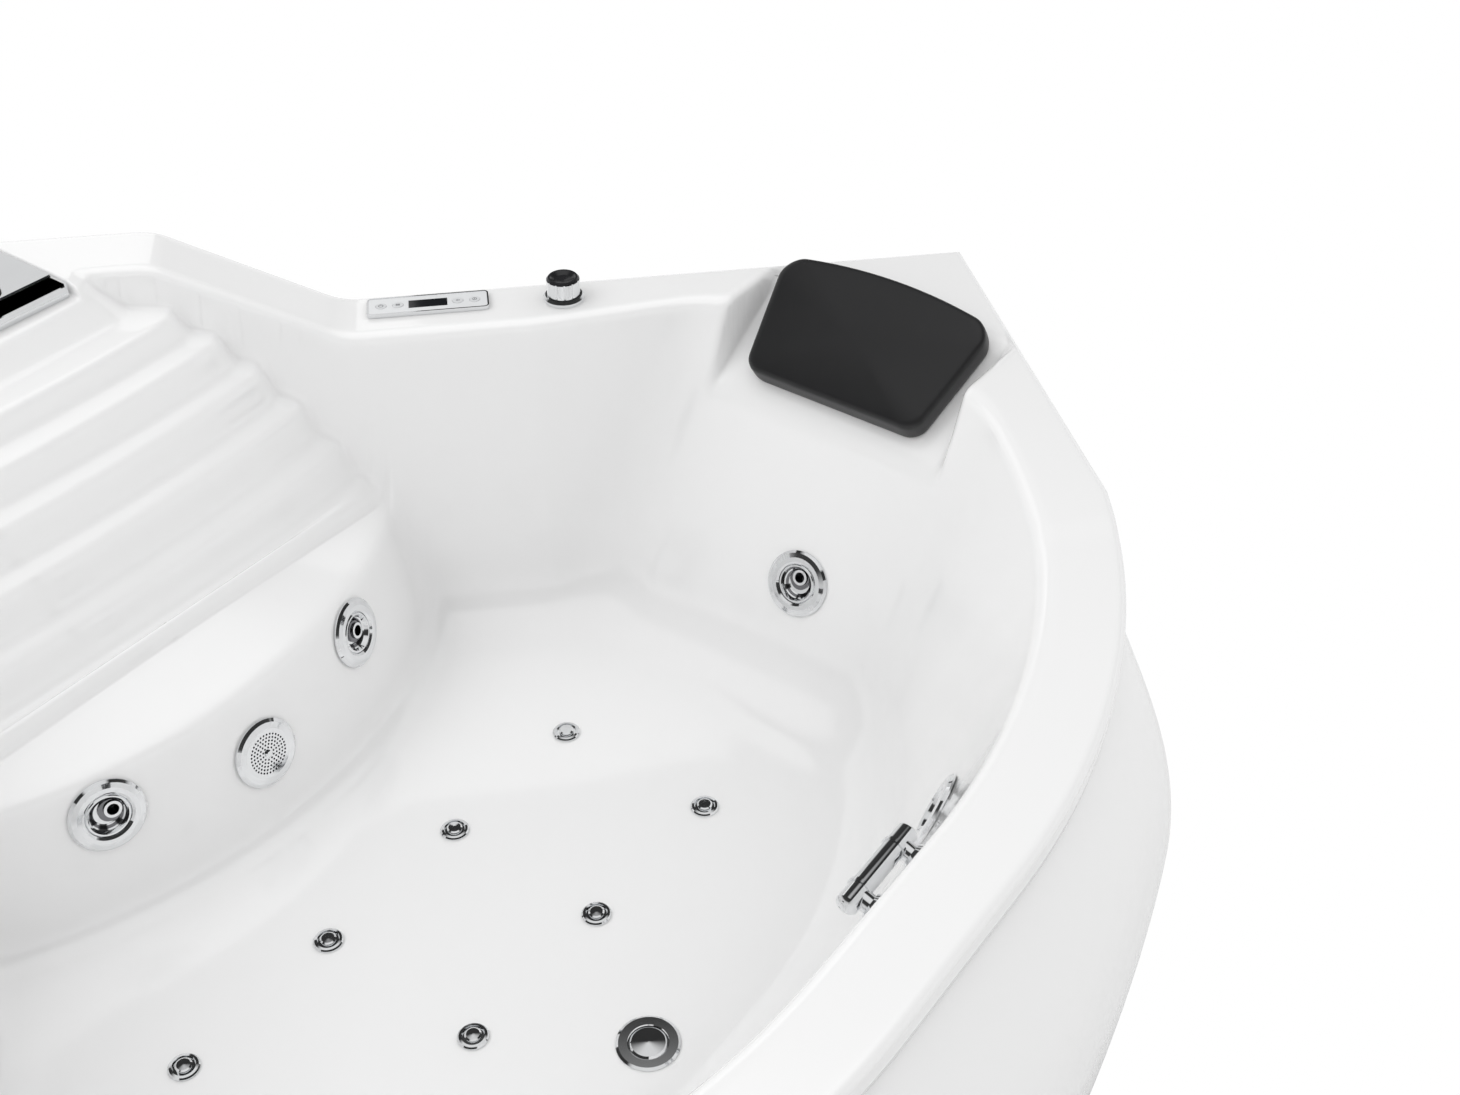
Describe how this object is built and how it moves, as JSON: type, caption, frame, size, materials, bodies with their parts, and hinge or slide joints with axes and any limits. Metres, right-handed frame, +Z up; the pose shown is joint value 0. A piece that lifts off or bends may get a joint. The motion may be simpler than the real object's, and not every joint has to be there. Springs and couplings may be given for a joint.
{
  "type": "jetted corner bathtub",
  "caption": "White corner jetted bathtub with a curved apron, stepped cascade under a waterfall spout, black head pillows, chrome jets and rim controls.",
  "frame": {"origin": "on the floor, under the middle of the bounding box", "axes": "+Z up, -Y towards the curved front, +Y towards the room corner, +X to the right seen from the front"},
  "size_m": [2.0902, 1.7453, 0.7405],
  "materials": {
    "acrylic": "gloss",
    "galvanised": "satin",
    "board": "matte",
    "pillow": "satin",
    "chrome": "polished",
    "pipe_plastic": "matte",
    "steel": "satin",
    "display": "gloss",
    "black_plastic": "matte",
    "brass_fitting": "satin",
    "rotor_plastic": "matte",
    "motor_paint": "satin",
    "box_plastic": "matte",
    "button_rubber": "matte",
    "panel_face": "gloss"
  },
  "bodies": {
    "tub": {"bath_shell": "acrylic", "front_apron": "acrylic", "frame_base_rails": "galvanised", "frame_uprights": "galvanised", "rim_bearers": "galvanised", "base_boards": "board", "foot_bushes": "galvanised", "apron_clips": "galvanised", "pillow_right": "pillow", "pillow_left": "pillow", "jet_flanges": "chrome", "jet_bodies": "pipe_plastic", "suction_cover": "chrome", "suction_screw": "chrome", "suction_body": "black_plastic", "air_jets": "chrome", "air_manifold": "pipe_plastic", "drain_flange": "chrome", "drain_tail": "pipe_plastic", "grab_handle": "chrome", "grab_handle_nuts": "steel", "panel_plate": "panel_face", "display_window": "display", "panel_pod": "black_plastic", "knob_base": "chrome", "air_valve_body": "pipe_plastic", "spout_plate": "chrome", "spout_inlet": "brass_fitting", "valve_bases": "chrome", "pump_housing": "black_plastic", "pump_motor": "motor_paint", "blower_housing": "black_plastic", "control_box": "box_plastic", "water_pipes": "pipe_plastic", "suction_pipe": "pipe_plastic"},
    "foot_body_1": {"foot_1": "steel"},
    "foot_body_2": {"foot_2": "steel"},
    "foot_body_3": {"foot_3": "steel"},
    "foot_body_4": {"foot_4": "steel"},
    "foot_body_5": {"foot_5": "steel"},
    "nozzle_body_1": {"jet_nozzle_1": "chrome"},
    "nozzle_body_2": {"jet_nozzle_2": "chrome"},
    "nozzle_body_3": {"jet_nozzle_3": "chrome"},
    "nozzle_body_4": {"jet_nozzle_4": "chrome"},
    "nozzle_body_5": {"jet_nozzle_5": "chrome"},
    "nozzle_body_6": {"jet_nozzle_6": "chrome"},
    "button_body_1": {"button_1": "button_rubber"},
    "button_body_2": {"button_2": "button_rubber"},
    "button_body_3": {"button_3": "button_rubber"},
    "button_body_4": {"button_4": "button_rubber"},
    "knob_body": {"air_control_knob": "chrome"},
    "valve_body_left": {"valve_handle_left": "chrome"},
    "valve_body_right": {"valve_handle_right": "chrome"},
    "plug_body": {"drain_plug": "chrome"},
    "rotor_body": {"pump_rotor": "rotor_plastic"},
    "fan_body": {"blower_fan": "rotor_plastic"}
  },
  "joints": [
    {"name": "foot_1_level", "type": "slide", "parent": "tub", "child": "foot_body_1", "axis": [0, 0, 1], "range_m": [-0.025, 0]},
    {"name": "foot_2_level", "type": "slide", "parent": "tub", "child": "foot_body_2", "axis": [0, 0, 1], "range_m": [-0.025, 0]},
    {"name": "foot_3_level", "type": "slide", "parent": "tub", "child": "foot_body_3", "axis": [0, 0, 1], "range_m": [-0.025, 0]},
    {"name": "foot_4_level", "type": "slide", "parent": "tub", "child": "foot_body_4", "axis": [0, 0, 1], "range_m": [-0.025, 0]},
    {"name": "foot_5_level", "type": "slide", "parent": "tub", "child": "foot_body_5", "axis": [0, 0, 1], "range_m": [-0.025, 0]},
    {"name": "jet_nozzle_1_turn", "type": "hinge", "parent": "tub", "child": "nozzle_body_1", "pos_m": [-0.194, 0.19515, 0.269], "axis": [-0.2968, -0.9281, 0.225], "continuous": true},
    {"name": "jet_nozzle_2_turn", "type": "hinge", "parent": "tub", "child": "nozzle_body_2", "pos_m": [0.194, 0.19515, 0.269], "axis": [0.2968, -0.9281, 0.225], "continuous": true},
    {"name": "jet_nozzle_3_turn", "type": "hinge", "parent": "tub", "child": "nozzle_body_3", "pos_m": [0.61711, -0.20014, 0.26], "axis": [-0.9063, 0, 0.4226], "continuous": true},
    {"name": "jet_nozzle_4_turn", "type": "hinge", "parent": "tub", "child": "nozzle_body_4", "pos_m": [-0.61711, -0.20014, 0.26], "axis": [0.9063, 0, 0.4226], "continuous": true},
    {"name": "jet_nozzle_5_turn", "type": "hinge", "parent": "tub", "child": "nozzle_body_5", "pos_m": [0.275, -0.60753, 0.37], "axis": [-0.225, 0.9124, 0.342], "continuous": true},
    {"name": "jet_nozzle_6_turn", "type": "hinge", "parent": "tub", "child": "nozzle_body_6", "pos_m": [-0.275, -0.60753, 0.37], "axis": [0.225, 0.9124, 0.342], "continuous": true},
    {"name": "button_1_press", "type": "slide", "parent": "tub", "child": "button_body_1", "axis": [0, 0, -1], "range_m": [0, 0.0008], "stiffness_N_per_m": 600},
    {"name": "button_2_press", "type": "slide", "parent": "tub", "child": "button_body_2", "axis": [0, 0, -1], "range_m": [0, 0.0008], "stiffness_N_per_m": 600},
    {"name": "button_3_press", "type": "slide", "parent": "tub", "child": "button_body_3", "axis": [0, 0, -1], "range_m": [0, 0.0008], "stiffness_N_per_m": 600},
    {"name": "button_4_press", "type": "slide", "parent": "tub", "child": "button_body_4", "axis": [0, 0, -1], "range_m": [0, 0.0008], "stiffness_N_per_m": 600},
    {"name": "air_control_turn", "type": "hinge", "parent": "tub", "child": "knob_body", "pos_m": [0.62013, 0.18479, 0.56], "axis": [0, 0, 1], "range_deg": [0, 270]},
    {"name": "valve_left_turn", "type": "hinge", "parent": "tub", "child": "valve_body_left", "pos_m": [-0.058, 0.6108, 0.683], "axis": [0, 0, 1], "range_deg": [-90, 0]},
    {"name": "valve_right_turn", "type": "hinge", "parent": "tub", "child": "valve_body_right", "pos_m": [0.058, 0.6108, 0.683], "axis": [0, 0, 1], "range_deg": [0, 90]},
    {"name": "drain_plug_lift", "type": "slide", "parent": "tub", "child": "plug_body", "axis": [0, 0, 1], "range_m": [0, 0.01]},
    {"name": "pump_rotor_spin", "type": "hinge", "parent": "tub", "child": "rotor_body", "pos_m": [0, 0.3628, 0.214], "axis": [0, 1, 0], "continuous": true},
    {"name": "blower_fan_spin", "type": "hinge", "parent": "tub", "child": "fan_body", "pos_m": [-0.19, 0.4578, 0.124], "axis": [0, 0, 1], "continuous": true}
  ]
}
